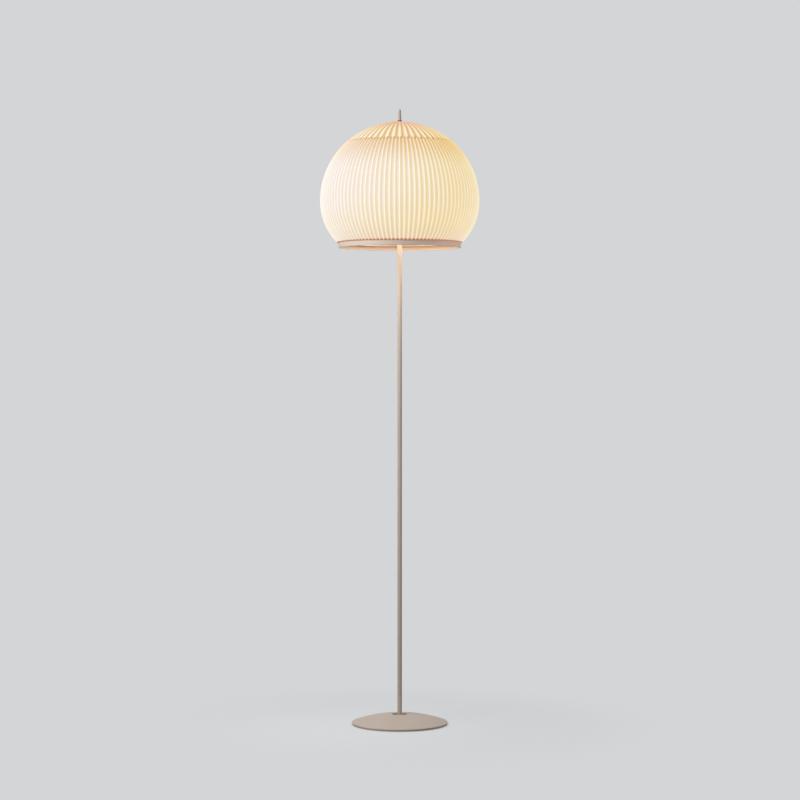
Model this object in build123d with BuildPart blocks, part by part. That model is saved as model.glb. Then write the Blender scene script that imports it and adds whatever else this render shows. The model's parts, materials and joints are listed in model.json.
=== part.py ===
from build123d import *
import math
import os

# Floor lamp with a pleated knit shade. Millimetres, Z up, the origin on the floor at the middle of the base.
# The lead enters at the back of the base, which is +Y.

# Base
base_diameter = 254.0
rim_height = 6.0  # from the floor to the edge of the dome
dome_rise = 22.0  # from that edge to the middle of the dome
cover_wall = 1.5
rim_lift = 1.0  # the cover's edge stands clear of the floor
rim_rounding = 2.2
lip_rounding = 1.2
pad_thickness = 1.5
pad_margin = 9.0  # the pad lies this far inside the cover's rim
pad_hole_diameter = 40.0
weight_gap = 0.5  # between the cast weight and the sheet cover over it
well_diameter = 40.6
well_depth = 9.0  # from the top of the dome to the floor of the well
well_bore_diameter = 12.0
lead_well_web = 0.7  # between a screw's hole and the well in the weight where the lead bends

# Foot of the stem
flange_margin = 2.3  # between the flange and the side of the well
flange_thickness = 3.5
spigot_length = 22.0
screw_count = 3
screw_margin = 3.0  # metal between a screw and the flange's side
screw_diameter = 4.0
screw_head_diameter = 8.0
screw_head_height = 2.6
screw_head_depth = 7.0  # of its pocket in the underside of the weight
screw_start = 30.0  # degrees, the first screw's angle
screw_tip_cover = 0.8  # metal left in the flange over the screw's tip

# Stem
stem_diameter = 12.0
stem_wall = 1.25
stem_length = 1291.0

# Lead: a flat twin, wider than it is thick
lead_width = 5.4
lead_thickness = 3.2
lead_bend_radius = 9.0
lead_height = 3.9  # of its middle, where it runs back to the rim
lead_bore_diameter = 7.0
bush_width = 8.4
bush_length = 10.0
bush_inset = 8.0  # from the rim to the bush
notch_width = 7.0
notch_height = 4.8  # of the notch in the rim, above the floor

# Lamp cluster
cluster_diameter = 34.0
cluster_height = 44.0
cluster_chamfer = 3.0
stem_socket_depth = 14.0
rod_socket_depth = 14.0
arm_diameter = 10.0
arm_wall = 1.0
arm_bend_radius = 16.0
arm_socket_depth = 6.0
arm_rise = 24.0  # from the arm's level run to the floor of the holder
lamp_spacing = 124.0
rod_nut_across = 17.0
rod_nut_height = 6.0
arm_nut_across = 15.0
arm_nut_height = 4.0
set_screw_diameter = 5.0
set_screw_inset = 0.9  # its head lies this far inside the cluster's side

# Lamp holders and lamps
lamp_margin = 1.2  # between a lamp's flare and the rim of its holder
holder_height = 48.0
holder_wall = 1.5
holder_floor = 2.5
holder_shoulder = 6.0
socket_rest = 8.0  # the insert stands this far above the holder's floor
socket_floor = 5.0
socket_depth = 24.0
cap_diameter = 26.5
cap_contact_diameter = 12.0
cap_contact_height = 3.0
lamp_neck_diameter = 29.0
lamp_flare_height = 26.0
lamp_diameter = 40.0
lamp_length = 88.0  # of the opal body above its cap
lamp_end_chamfer = 9.0

# Shade, as profiles about its widest level
shade_radius = 209.5
shoulder_radius = 154.0  # of the tighter curve below the widest level
hem_drop = 109.0
seam_radius = 137.0
pleat_count = 100
pleat_depth = 4.0
fabric = 1.2
cap_step = 1.0  # the cap lies this much inside the body at the seam
cap_pleat_count = 50
cap_fold_depth = 3.0
cap_fold_depth_inner = 0.4
cap_fold_share = 0.14  # of a pleat, from its fold to its flat panel
cap_hole_radius = 6.6
hem_overhang = 3.3  # of the fabric's ridges past the ring
ring_height = 13.0
ring_wall = 2.0
shelf_margin = 4.0  # of the ring's shelf past the feet of the cage
hoop_height = 8.0
strip_thickness = 1.5
cage_rib_count = 8
cage_rib_width = 5.0
spider_arm_count = 4
spider_arm_width = 7.0
hub_diameter = 44.0
hub_thickness = 5.7
hub_boss_diameter = 11.6
hub_boss_height = 1.0  # above the crown of the fabric

# Rod, collar and finial
rod_diameter = 10.0
rod_length = 247.0  # from the floor of its socket to the underside of its seat
seat_diameter = 20.0
seat_thickness = 3.0
neck_diameter = 8.0
stud_diameter = 6.0
stud_length = 9.0  # inside the finial
collar_diameter = 12.0
collar_thickness = 2.5
finial_length = 28.8
finial_foot_wall = 1.2  # round the stud's bore
finial_waist_wall = 0.6
finial_tip_diameter = 6.0
finial_bore_spare = 1.0  # past the end of the stud
finial_tip_rounding = 2.4
edge_break = 0.5  # the small chamfer on turned edges

# Clearances
running_fit = 0.05  # radial, of pins in their bores
thrust_gap = 0.1  # between faces that turn on each other
slip_gap = 0.3  # between soft pieces and what they lie on
weld_gap = 0.1
hole_clearance = 0.3  # radial, of screws in plain holes

base_radius = base_diameter / 2
well_radius = well_diameter / 2
flange_radius = well_radius - flange_margin
screw_circle_radius = flange_radius - screw_margin - screw_diameter / 2
dome_radius = (base_radius**2 + dome_rise**2) / (2 * dome_rise)
dome_top = rim_height + dome_rise
dome_centre = dome_top - dome_radius
well_floor = dome_top - well_depth
boss_height = well_floor - cover_wall
stem_foot = well_floor + flange_thickness
stem_top = stem_foot + stem_length
stem_bore = stem_diameter - 2 * stem_wall
cluster_bottom = stem_top - stem_socket_depth
cluster_top = cluster_bottom + cluster_height
rod_foot = cluster_top - rod_socket_depth
seat_top = rod_foot + rod_length + seat_thickness
hub_bottom = seat_top + thrust_gap

# The shade's widest level follows from its hub, which lies under the crown of the fabric.
cap_radius = shade_radius - cap_step
cap_angle = math.degrees(math.asin(seam_radius / shade_radius))
frame_radius = min(cap_radius - cap_fold_depth, shade_radius - pleat_depth) - fabric - slip_gap
crown_clearance = cap_fold_depth_inner + fabric + 2 * slip_gap
equator = hub_bottom + hub_thickness - (cap_radius - crown_clearance)
crown = equator + cap_radius
hem_height = equator - hem_drop
shoulder_offset = shade_radius - shoulder_radius
shoulder_frame = frame_radius - shoulder_offset
hem_radius = shoulder_offset + math.sqrt(shoulder_radius**2 - hem_drop**2)
cage_foot = shoulder_offset + math.sqrt((shoulder_frame - strip_thickness) ** 2 - hem_drop**2)
ring_radius = hem_radius - hem_overhang
shelf_radius = cage_foot - shelf_margin
ring_top = hem_height - slip_gap
boss_top = crown + hub_boss_height
collar_bottom = boss_top + thrust_gap
finial_bottom = collar_bottom + collar_thickness + thrust_gap
arm_level = cluster_bottom + cluster_height / 2
holder_bottom = arm_level + arm_rise
lamp_x = lamp_spacing / 2
socket_bottom = holder_bottom + holder_floor + socket_rest
lamp_seat = socket_bottom + socket_floor + thrust_gap
lamp_foot = lamp_seat + socket_depth
holder_top = holder_bottom + holder_height
flare_slope = (lamp_diameter - lamp_neck_diameter) / 2 / lamp_flare_height
holder_inner = lamp_neck_diameter / 2 + flare_slope * (holder_top - lamp_foot) + lamp_margin
holder_outer = holder_inner + holder_wall


def dome_height(radius, inset=0.0):
    """The height of the base's dome at a radius, or of a surface that lies inset under it."""
    return dome_centre + math.sqrt((dome_radius - inset) ** 2 - radius**2)


def radial_plane(angle, height=0.0):
    """The plane through the lamp's axis at an angle, with its x outwards and its y upwards."""
    turn = math.radians(angle)
    return Plane(
        origin=(0, 0, height),
        x_dir=(math.cos(turn), math.sin(turn), 0),
        z_dir=(math.sin(turn), -math.cos(turn), 0),
    )


def on_sphere(radius, angle):
    """A point of a radial plane at an angle from the upright axis."""
    turn = math.radians(angle)
    return (radius * math.sin(turn), radius * math.cos(turn))


# Base pad: a felt ring that the lamp stands on
with BuildPart() as base_pad:
    with BuildSketch():
        Circle(base_radius - pad_margin)
        Circle(pad_hole_diameter / 2, mode=Mode.SUBTRACT)
    extrude(amount=pad_thickness)
base_pad.part.label = "base_pad"

# Base weight: an iron casting that fills the cover, with a seat under the well and a channel for the lead
weight_radius = base_radius - cover_wall - weight_gap
weight_inset = cover_wall + weight_gap
recess_radius = well_radius + cover_wall + weight_gap
channel_width = bush_width + 2 * weight_gap
channel_top = 2 * lead_height - pad_thickness
lead_well_radius = screw_circle_radius - screw_diameter / 2 - hole_clearance - lead_well_web
weight_screws = PolarLocations(screw_circle_radius, screw_count, start_angle=screw_start)
with BuildPart() as base_weight:
    with BuildSketch(Plane.XZ):
        with BuildLine():
            edge_top = (weight_radius, dome_height(weight_radius, weight_inset))
            middle = (weight_radius + recess_radius) / 2
            recess_top = (recess_radius, dome_height(recess_radius, weight_inset))
            Polyline(
                (recess_radius, boss_height),
                (lead_well_radius, boss_height),
                (lead_well_radius, pad_thickness),
                (weight_radius, pad_thickness),
                edge_top,
            )
            ThreePointArc(edge_top, (middle, dome_height(middle, weight_inset)), recess_top)
            Line(recess_top, (recess_radius, boss_height))
        make_face()
    revolve(axis=Axis.Z)
    with BuildSketch(Plane.XY.offset(pad_thickness)):
        with Locations((0, base_radius / 2)):
            Rectangle(channel_width, base_radius)
    extrude(amount=channel_top - pad_thickness, mode=Mode.SUBTRACT)
    with BuildSketch(Plane.XY.offset(pad_thickness)):
        with weight_screws:
            Circle(screw_head_diameter / 2 + hole_clearance)
    extrude(amount=screw_head_depth, mode=Mode.SUBTRACT)
    with BuildSketch(Plane.XY.offset(pad_thickness)):
        with weight_screws:
            Circle(screw_diameter / 2 + hole_clearance)
    extrude(amount=boss_height, mode=Mode.SUBTRACT)
base_weight.part.label = "base_weight"

# Base cover: a spun shell with a turned-down rim and a well about the stem's foot
with BuildPart() as base_cover:
    with BuildSketch(Plane.XZ):
        with BuildLine():
            lip = (well_radius, dome_height(well_radius))
            rim = (base_radius, rim_height)
            outer_middle = (well_radius + base_radius) / 2
            inner_rim_radius = base_radius - cover_wall
            inner_rim = (inner_rim_radius, dome_height(inner_rim_radius, cover_wall))
            inner_lip = (well_radius + cover_wall, dome_height(well_radius + cover_wall, cover_wall))
            inner_middle = (inner_lip[0] + inner_rim[0]) / 2
            ThreePointArc(lip, (outer_middle, dome_height(outer_middle)), rim)
            Polyline(rim, (base_radius, rim_lift), (inner_rim_radius, rim_lift), inner_rim)
            ThreePointArc(inner_rim, (inner_middle, dome_height(inner_middle, cover_wall)), inner_lip)
            Polyline(
                inner_lip,
                (inner_lip[0], boss_height),
                (well_bore_diameter / 2, boss_height),
                (well_bore_diameter / 2, well_floor),
                (well_radius, well_floor),
                lip,
            )
        make_face()
        fillet(vertices().sort_by_distance((*rim, 0))[0], rim_rounding)
        fillet(vertices().sort_by_distance((*lip, 0))[0], lip_rounding)
    revolve(axis=Axis.Z)
    with BuildSketch(Plane.XY.offset(boss_height)):
        with weight_screws:
            Circle(screw_diameter / 2 + hole_clearance)
    extrude(amount=cover_wall, mode=Mode.SUBTRACT)
    with BuildSketch(Plane.XZ):
        with Locations((0, notch_height - notch_width / 2)):
            Circle(notch_width / 2)
        Rectangle(notch_width, 2 * (notch_height - notch_width / 2))
    extrude(amount=-2 * base_radius, mode=Mode.SUBTRACT)
base_cover.part.label = "base_cover"

# Foot hub: a turned flange in the well with a spigot inside the stem, bored for the lead
with BuildPart() as foot_hub:
    with BuildSketch(Plane.XY.offset(well_floor)):
        Circle(flange_radius)
    extrude(amount=flange_thickness)
    chamfer(edges().sort_by(Axis.Z)[-1], edge_break)
    with BuildSketch(Plane.XY.offset(stem_foot)):
        Circle(stem_bore / 2 - running_fit)
    extrude(amount=spigot_length)
    chamfer(edges().sort_by(Axis.Z)[-1], edge_break)
    with BuildSketch(Plane.XY.offset(well_floor)):
        Circle(lead_bore_diameter / 2)
        with weight_screws:
            Circle(screw_diameter / 2 + running_fit)
    extrude(amount=flange_thickness - screw_tip_cover, mode=Mode.SUBTRACT)
    with BuildSketch(Plane.XY.offset(well_floor)):
        Circle(lead_bore_diameter / 2)
    extrude(amount=flange_thickness + spigot_length, mode=Mode.SUBTRACT)
foot_hub.part.label = "foot_hub"

# Foot screws: they hold the flange, the cover's well and the weight together from below
screw_seat = pad_thickness + screw_head_depth
screw_length = stem_foot - screw_tip_cover - thrust_gap - screw_seat
with BuildPart() as foot_screws:
    with BuildSketch(Plane.XY.offset(screw_seat)):
        with weight_screws:
            Circle(screw_head_diameter / 2)
    extrude(amount=-screw_head_height)
    with BuildSketch(Plane.XY.offset(screw_seat)):
        with weight_screws:
            Circle(screw_diameter / 2)
    extrude(amount=screw_length)
foot_screws.part.label = "foot_screws"

# Stem: one straight tube from the flange to the lamp cluster
with BuildPart() as stem_tube:
    with BuildSketch(Plane.XY.offset(stem_foot)):
        Circle(stem_diameter / 2)
        Circle(stem_bore / 2, mode=Mode.SUBTRACT)
    extrude(amount=stem_length)
stem_tube.part.label = "stem_tube"

# Cord bush: a rubber block in the weight's channel that grips the lead where it enters the base
bush_middle = base_radius - bush_inset - bush_length / 2
with BuildPart() as cord_bush:
    with BuildSketch(Plane.XZ.offset(-bush_middle)):
        with Locations((0, lead_height)):
            Rectangle(bush_width, channel_top - pad_thickness - 2 * thrust_gap)
            SlotOverall(lead_width + 2 * running_fit, lead_thickness + 2 * running_fit, mode=Mode.SUBTRACT)
    extrude(amount=bush_length / 2, both=True)
cord_bush.part.label = "cord_bush"

# Inner lead: down the stem, round into the weight's channel and back to the bush, held all the way
with BuildPart() as inner_lead:
    with BuildLine():
        FilletPolyline(
            (0, 0, stem_top),
            (0, 0, lead_height),
            (0, bush_middle, lead_height),
            radius=lead_bend_radius,
        )
    with BuildSketch(Plane(origin=(0, 0, stem_top), x_dir=(1, 0, 0), z_dir=(0, 0, -1))):
        SlotOverall(lead_width, lead_thickness)
    sweep()
inner_lead.part.label = "inner_lead"

# Cluster body: a turned block on top of the stem that carries the two arms and the rod
with BuildPart() as cluster_body:
    with BuildSketch(Plane.XY.offset(cluster_bottom)):
        Circle(cluster_diameter / 2)
    extrude(amount=cluster_height)
    chamfer(edges().group_by(Axis.Z)[0], cluster_chamfer)
    chamfer(edges().group_by(Axis.Z)[-1], cluster_chamfer)
    with BuildSketch(Plane.XY.offset(cluster_bottom)):
        Circle(stem_diameter / 2 + running_fit)
    extrude(amount=stem_socket_depth, mode=Mode.SUBTRACT)
    with BuildSketch(Plane.XY.offset(cluster_top)):
        Circle(rod_diameter / 2 + running_fit)
    extrude(amount=-rod_socket_depth, mode=Mode.SUBTRACT)
    for side in (-1, 1):
        with BuildSketch(Plane.YZ.offset(side * cluster_diameter / 2)):
            with Locations((0, arm_level)):
                Circle(arm_diameter / 2 + running_fit)
        extrude(amount=-side * arm_socket_depth, mode=Mode.SUBTRACT)
    with BuildSketch(Plane.XZ.offset(cluster_diameter / 2)):
        with Locations((0, stem_top - stem_socket_depth / 2)):
            Circle(set_screw_diameter / 2 + running_fit)
    extrude(amount=-cluster_diameter / 2, mode=Mode.SUBTRACT)
cluster_body.part.label = "cluster_body"

# Set screw: it holds the cluster on the stem, from the front
with BuildPart() as set_screw:
    with BuildSketch(Plane.XZ.offset(stem_diameter / 2 + thrust_gap)):
        with Locations((0, stem_top - stem_socket_depth / 2)):
            Circle(set_screw_diameter / 2)
    extrude(amount=(cluster_diameter - stem_diameter) / 2 - thrust_gap - set_screw_inset)
set_screw.part.label = "set_screw"

# Rod: it carries the shade on its seat and the finial on its stud
stud_top = finial_bottom + stud_length
with BuildPart() as shade_rod:
    with BuildSketch(Plane.XY.offset(rod_foot)):
        Circle(rod_diameter / 2)
    extrude(amount=rod_length)
    with BuildSketch(Plane.XY.offset(seat_top - seat_thickness)):
        Circle(seat_diameter / 2)
    extrude(amount=seat_thickness)
    chamfer(edges().filter_by(GeomType.CIRCLE).group_by(SortBy.RADIUS)[-1], edge_break)
    with BuildSketch(Plane.XY.offset(seat_top)):
        Circle(neck_diameter / 2)
    extrude(amount=boss_top - seat_top)
    with BuildSketch(Plane.XY.offset(boss_top)):
        Circle(stud_diameter / 2)
    extrude(amount=stud_top - boss_top)
    chamfer(edges().group_by(Axis.Z)[-1], edge_break)
shade_rod.part.label = "shade_rod"

# Rod nut: it locks the rod in the cluster
with BuildPart() as rod_nut:
    with BuildSketch(Plane.XY.offset(cluster_top + thrust_gap)):
        RegularPolygon(rod_nut_across / 2, 6, major_radius=False)
        Circle(rod_diameter / 2 + running_fit, mode=Mode.SUBTRACT)
    extrude(amount=rod_nut_height)
rod_nut.part.label = "rod_nut"


def build_arm(side):
    """A bent tube from the side of the cluster to the floor of a lamp holder."""
    arm_start = side * (cluster_diameter / 2 - arm_socket_depth + thrust_gap)
    arm_end = holder_bottom + holder_floor
    with BuildPart() as arm:
        with BuildLine():
            FilletPolyline(
                (arm_start, 0, arm_level),
                (side * lamp_x, 0, arm_level),
                (side * lamp_x, 0, arm_end),
                radius=arm_bend_radius,
            )
        with BuildSketch(Plane.YZ.offset(arm_start)):
            with Locations((0, arm_level)):
                Circle(arm_diameter / 2)
                Circle(arm_diameter / 2 - arm_wall, mode=Mode.SUBTRACT)
        sweep()
    return arm.part


def build_arm_nuts(side):
    """The nuts on one arm: one against the cluster, one under the holder."""
    with BuildPart() as nuts:
        with BuildSketch(Plane.YZ.offset(side * (cluster_diameter / 2 + thrust_gap))):
            with Locations((0, arm_level)):
                RegularPolygon(arm_nut_across / 2, 6, major_radius=False)
                Circle(arm_diameter / 2 + running_fit, mode=Mode.SUBTRACT)
        extrude(amount=side * arm_nut_height)
        with BuildSketch(Plane.XY.offset(holder_bottom - thrust_gap)):
            with Locations((side * lamp_x, 0)):
                RegularPolygon(arm_nut_across / 2, 6, major_radius=False)
                Circle(arm_diameter / 2 + running_fit, mode=Mode.SUBTRACT)
        extrude(amount=-arm_nut_height)
    return nuts.part


def lamp_plane(side):
    """The upright plane through a lamp's own axis, with its x to the right and its y upwards."""
    return Plane(origin=(side * lamp_x, 0, 0), x_dir=(1, 0, 0), z_dir=(0, -1, 0))


def lamp_axis(side):
    """The upright axis of one lamp."""
    return Axis((side * lamp_x, 0, 0), (0, 0, 1))


def build_holder(side):
    """The painted cup round a lamp's socket, open above, with a rounded shoulder below."""
    bore = arm_diameter / 2 + running_fit
    floor_top = holder_bottom + holder_floor
    with BuildPart() as holder:
        with BuildSketch(lamp_plane(side)):
            with BuildLine():
                Polyline(
                    (bore, holder_bottom),
                    (holder_outer, holder_bottom),
                    (holder_outer, holder_top),
                    (holder_inner, holder_top),
                    (holder_inner, floor_top),
                    (bore, floor_top),
                    close=True,
                )
            make_face()
            chamfer(vertices().sort_by_distance((holder_outer, holder_bottom, 0))[0], holder_shoulder)
            chamfer(vertices().sort_by_distance((holder_inner, floor_top, 0))[0], holder_shoulder)
        revolve(axis=lamp_axis(side))
    return holder.part


def build_socket(side):
    """The ceramic insert with the lamp's thread, standing in the holder on its sleeve."""
    outer = holder_inner - running_fit
    bore = cap_diameter / 2 + hole_clearance
    top = socket_bottom + socket_floor + socket_depth
    with BuildPart() as socket:
        with BuildSketch(lamp_plane(side)):
            with BuildLine():
                Polyline(
                    (0, socket_bottom),
                    (outer, socket_bottom),
                    (outer, top),
                    (bore, top),
                    (bore, socket_bottom + socket_floor),
                    (0, socket_bottom + socket_floor),
                    close=True,
                )
            make_face()
        revolve(axis=lamp_axis(side))
    return socket.part


def build_lamp_cap(side):
    """The metal cap of a lamp, with its contact at the foot."""
    cap = cap_diameter / 2
    contact = cap_contact_diameter / 2
    shoulder = lamp_seat + cap_contact_height
    with BuildPart() as lamp_cap:
        with BuildSketch(lamp_plane(side)):
            with BuildLine():
                Polyline(
                    (0, lamp_seat),
                    (contact, lamp_seat),
                    (cap, shoulder),
                    (cap, lamp_foot),
                    (0, lamp_foot),
                    close=True,
                )
            make_face()
        revolve(axis=lamp_axis(side))
    return lamp_cap.part


def build_lamp_globe(side):
    """The opal body of a lamp: a neck that flares to a tube with a rounded end."""
    wide = lamp_diameter / 2
    neck = lamp_neck_diameter / 2
    flare_top = lamp_foot + lamp_flare_height
    end = lamp_foot + lamp_length
    with BuildPart() as globe:
        with BuildSketch(lamp_plane(side)):
            with BuildLine():
                Polyline(
                    (wide, flare_top),
                    (wide, end),
                    (0, end),
                    (0, lamp_foot),
                    (neck, lamp_foot),
                    (wide, flare_top),
                )
            make_face()
            chamfer(vertices().sort_by_distance((wide, end, 0))[0], lamp_end_chamfer)
        revolve(axis=lamp_axis(side))
    return globe.part


lamp_pieces = {
    "arm": build_arm,
    "arm_nuts": build_arm_nuts,
    "holder": build_holder,
    "socket": build_socket,
    "lamp_cap": build_lamp_cap,
    "lamp_globe": build_lamp_globe,
}

# Shade hub: a turned disc that turns on the rod's neck, domed to the crown of the fabric
hub_radius = hub_diameter / 2
hub_dome = cap_radius - crown_clearance
hub_boss_radius = hub_boss_diameter / 2
with BuildPart() as shade_hub:
    with BuildSketch(Plane.XZ):
        with BuildLine():
            bore = neck_diameter / 2 + running_fit
            boss_foot = equator + math.sqrt(hub_dome**2 - hub_boss_radius**2)
            hub_edge = equator + math.sqrt(hub_dome**2 - hub_radius**2)
            hub_middle = (hub_radius + hub_boss_radius) / 2
            Polyline(
                (hub_radius, hub_edge),
                (hub_radius, hub_bottom),
                (bore, hub_bottom),
                (bore, boss_top),
                (hub_boss_radius, boss_top),
                (hub_boss_radius, boss_foot),
            )
            ThreePointArc(
                (hub_boss_radius, boss_foot),
                (hub_middle, equator + math.sqrt(hub_dome**2 - hub_middle**2)),
                (hub_radius, hub_edge),
            )
        make_face()
    revolve(axis=Axis.Z)
shade_hub.part.label = "shade_hub"

# Upper hoop: a flat band under the seam of the fabric
hoop_tilt = math.degrees(math.atan2(hoop_height / 2, frame_radius))
hoop_outer = math.sqrt(frame_radius**2 - (hoop_height / 2) ** 2)
with BuildPart() as upper_hoop:
    with BuildSketch(Plane.XZ):
        with Locations((0, equator)):
            with Locations(Rot(0, 0, 90 - cap_angle)):
                with Locations((hoop_outer - strip_thickness / 2, 0)):
                    Rectangle(strip_thickness, hoop_height)
    revolve(axis=Axis.Z)
upper_hoop.part.label = "upper_hoop"

# Spider arms: flat strips from the hub out to the hoop, under the cap
with BuildPart() as spider_arms:
    inner_angle = math.degrees(math.asin((hub_radius + weld_gap) / (frame_radius - strip_thickness)))
    outer_angle = cap_angle - hoop_tilt - math.degrees(weld_gap / frame_radius)
    with BuildSketch(radial_plane(0, equator)):
        with BuildLine():
            sweep_angle = outer_angle - inner_angle
            outside = CenterArc((0, 0), frame_radius, 90 - outer_angle, sweep_angle)
            inside = CenterArc((0, 0), frame_radius - strip_thickness, 90 - outer_angle, sweep_angle)
            Line(outside @ 0, inside @ 0)
            Line(outside @ 1, inside @ 1)
        make_face()
    arm_strip = extrude(amount=spider_arm_width / 2, both=True, mode=Mode.PRIVATE)
    with PolarLocations(0, spider_arm_count, start_angle=180 / spider_arm_count):
        add(arm_strip)
spider_arms.part.label = "spider_arms"

# Lower ring: a painted band round the mouth, with a shelf that carries the cage and the hem
with BuildPart() as lower_ring:
    with BuildSketch(Plane.XZ):
        with BuildLine():
            Polyline(
                (ring_radius, ring_top),
                (ring_radius, ring_top - ring_height),
                (ring_radius - ring_wall, ring_top - ring_height),
                (ring_radius - ring_wall, ring_top - ring_wall),
                (shelf_radius, ring_top - ring_wall),
                (shelf_radius, ring_top),
                close=True,
            )
        make_face()
        chamfer(vertices().sort_by_distance((ring_radius, ring_top, 0))[0], edge_break)
        chamfer(vertices().sort_by_distance((ring_radius, ring_top - ring_height, 0))[0], edge_break)
    revolve(axis=Axis.Z)
lower_ring.part.label = "lower_ring"


def arc_end(radius):
    """The angle below the widest level at which a shoulder curve of this radius reaches the hem."""
    return math.degrees(math.asin(hem_drop / radius))


# Cage ribs: flat strips behind the fabric, from the hoop down to the ring's shelf
with BuildPart() as cage_ribs:
    top_angle = 90 - cap_angle - hoop_tilt - math.degrees(weld_gap / frame_radius)
    foot_outer = arc_end(shoulder_frame)
    foot_inner = arc_end(shoulder_frame - strip_thickness)
    with BuildSketch(radial_plane(0, equator)):
        with BuildLine():
            shoulder = (shoulder_offset, 0)
            outer_upper = CenterArc((0, 0), frame_radius, 0, top_angle)
            outer_lower = CenterArc(shoulder, shoulder_frame, -foot_outer, foot_outer)
            inner_upper = CenterArc((0, 0), frame_radius - strip_thickness, 0, top_angle)
            inner_lower = CenterArc(shoulder, shoulder_frame - strip_thickness, -foot_inner, foot_inner)
            Line(outer_upper @ 1, inner_upper @ 1)
            Line(outer_lower @ 0, inner_lower @ 0)
        make_face()
    rib_strip = extrude(amount=cage_rib_width / 2, both=True, mode=Mode.PRIVATE)
    with PolarLocations(0, cage_rib_count, start_angle=180 / cage_rib_count):
        add(rib_strip)
cage_ribs.part.label = "cage_ribs"


def pleated_solid(outlines):
    """A closed solid round the axis, with ruled faces from each outline's edges to those of the next."""
    faces = []
    for outline, following in zip(outlines, outlines[1:] + outlines[:1]):
        for edge, next_edge in zip(outline, following):
            faces.append(Face.make_surface_from_curves(edge, next_edge))
    return Solid(Shell(faces))


def body_outline(angle, inset):
    """The closed outline of the body's fabric in the radial plane at an angle, inset from the ridges."""
    top_angle = 90 - cap_angle
    shoulder = (shoulder_offset, 0)
    outer_foot = arc_end(shoulder_radius - inset)
    inner_foot = arc_end(shoulder_radius - inset - fabric)
    with BuildLine(radial_plane(angle, equator)) as outline:
        outer_upper = CenterArc((0, 0), shade_radius - inset, 0, top_angle)
        outer_lower = CenterArc(shoulder, shoulder_radius - inset, -outer_foot, outer_foot)
        inner_upper = CenterArc((0, 0), shade_radius - inset - fabric, 0, top_angle)
        inner_lower = CenterArc(shoulder, shoulder_radius - inset - fabric, -inner_foot, inner_foot)
        Line(outer_upper @ 1, inner_upper @ 1)
        Line(outer_lower @ 0, inner_lower @ 0)
    return outline.edges()


# Knit body: the pleated globe of the shade, ridge and valley by turns from the seam to the hem
half_pitch = 180 / pleat_count
with BuildPart() as knit_body:
    body_outlines = []
    for pleat in range(pleat_count):
        body_outlines.append(body_outline(2 * pleat * half_pitch, 0))
        body_outlines.append(body_outline((2 * pleat + 1) * half_pitch, pleat_depth))
    add(pleated_solid(body_outlines))
knit_body.part.label = "knit_body"


def cap_outline(angle, inner_inset, outer_inset):
    """The closed outline of the cap's fabric in the radial plane at an angle, with its depth at both ends."""
    start = math.degrees(math.asin(cap_hole_radius / cap_radius))
    end = cap_angle - math.degrees(weld_gap / cap_radius)
    middle = (start + end) / 2
    mean_inset = (inner_inset + outer_inset) / 2
    with BuildLine(radial_plane(angle, equator)) as outline:
        outside = ThreePointArc(
            on_sphere(cap_radius - inner_inset, start),
            on_sphere(cap_radius - mean_inset, middle),
            on_sphere(cap_radius - outer_inset, end),
        )
        inside = ThreePointArc(
            on_sphere(cap_radius - inner_inset - fabric, start),
            on_sphere(cap_radius - mean_inset - fabric, middle),
            on_sphere(cap_radius - outer_inset - fabric, end),
        )
        Line(outside @ 0, inside @ 0)
        Line(outside @ 1, inside @ 1)
    return outline.edges()


# Knit cap: flat pleat panels with narrow folds between them, from the hub to the seam
cap_pitch = 360 / cap_pleat_count
fold_width = cap_fold_share * cap_pitch
with BuildPart() as knit_cap:
    cap_outlines = []
    for pleat in range(cap_pleat_count):
        fold = pleat * cap_pitch
        cap_outlines.append(cap_outline(fold, cap_fold_depth_inner, cap_fold_depth))
        cap_outlines.append(cap_outline(fold + fold_width, 0, 0))
        cap_outlines.append(cap_outline(fold + cap_pitch - fold_width, 0, 0))
    add(pleated_solid(cap_outlines))
knit_cap.part.label = "knit_cap"

# Finial collar: a loose collar between the hub's boss and the finial
with BuildPart() as finial_collar:
    with BuildSketch(Plane.XY.offset(collar_bottom)):
        Circle(collar_diameter / 2)
        Circle(stud_diameter / 2 + running_fit, mode=Mode.SUBTRACT)
    extrude(amount=collar_thickness)
    chamfer(edges().filter_by(GeomType.CIRCLE).group_by(SortBy.RADIUS)[-1], edge_break)
finial_collar.part.label = "finial_collar"

# Finial: a slender turned spike, waisted, with a rounded tip, bored for the stud
finial_top = finial_bottom + finial_length
with BuildPart() as finial:
    with BuildSketch(Plane.XZ):
        with BuildLine():
            tip = finial_tip_diameter / 2
            foot = stud_diameter / 2 + finial_foot_wall
            waist = stud_diameter / 2 + finial_waist_wall
            side = ThreePointArc(
                (foot, finial_bottom),
                (waist, finial_bottom + finial_length / 3),
                (tip, finial_top),
            )
            Polyline((tip, finial_top), (0, finial_top), (0, finial_bottom), (foot, finial_bottom))
        make_face()
        fillet(vertices().sort_by_distance((tip, finial_top, 0))[0], finial_tip_rounding)
    revolve(axis=Axis.Z)
    with BuildSketch(Plane.XY.offset(finial_bottom)):
        Circle(stud_diameter / 2 + running_fit)
    extrude(amount=stud_length + finial_bore_spare, mode=Mode.SUBTRACT)
finial.part.label = "finial"

sub_parts = [
    base_pad.part,
    base_weight.part,
    base_cover.part,
    foot_hub.part,
    foot_screws.part,
    stem_tube.part,
    cord_bush.part,
    inner_lead.part,
    cluster_body.part,
    set_screw.part,
    shade_rod.part,
    rod_nut.part,
    shade_hub.part,
    upper_hoop.part,
    spider_arms.part,
    lower_ring.part,
    cage_ribs.part,
    knit_body.part,
    knit_cap.part,
    finial_collar.part,
    finial.part,
]
for side, side_name in ((-1, "left"), (1, "right")):
    for piece_name, build_piece in lamp_pieces.items():
        piece = build_piece(side)
        piece.label = f"{side_name}_{piece_name}"
        sub_parts.append(piece)

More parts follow.
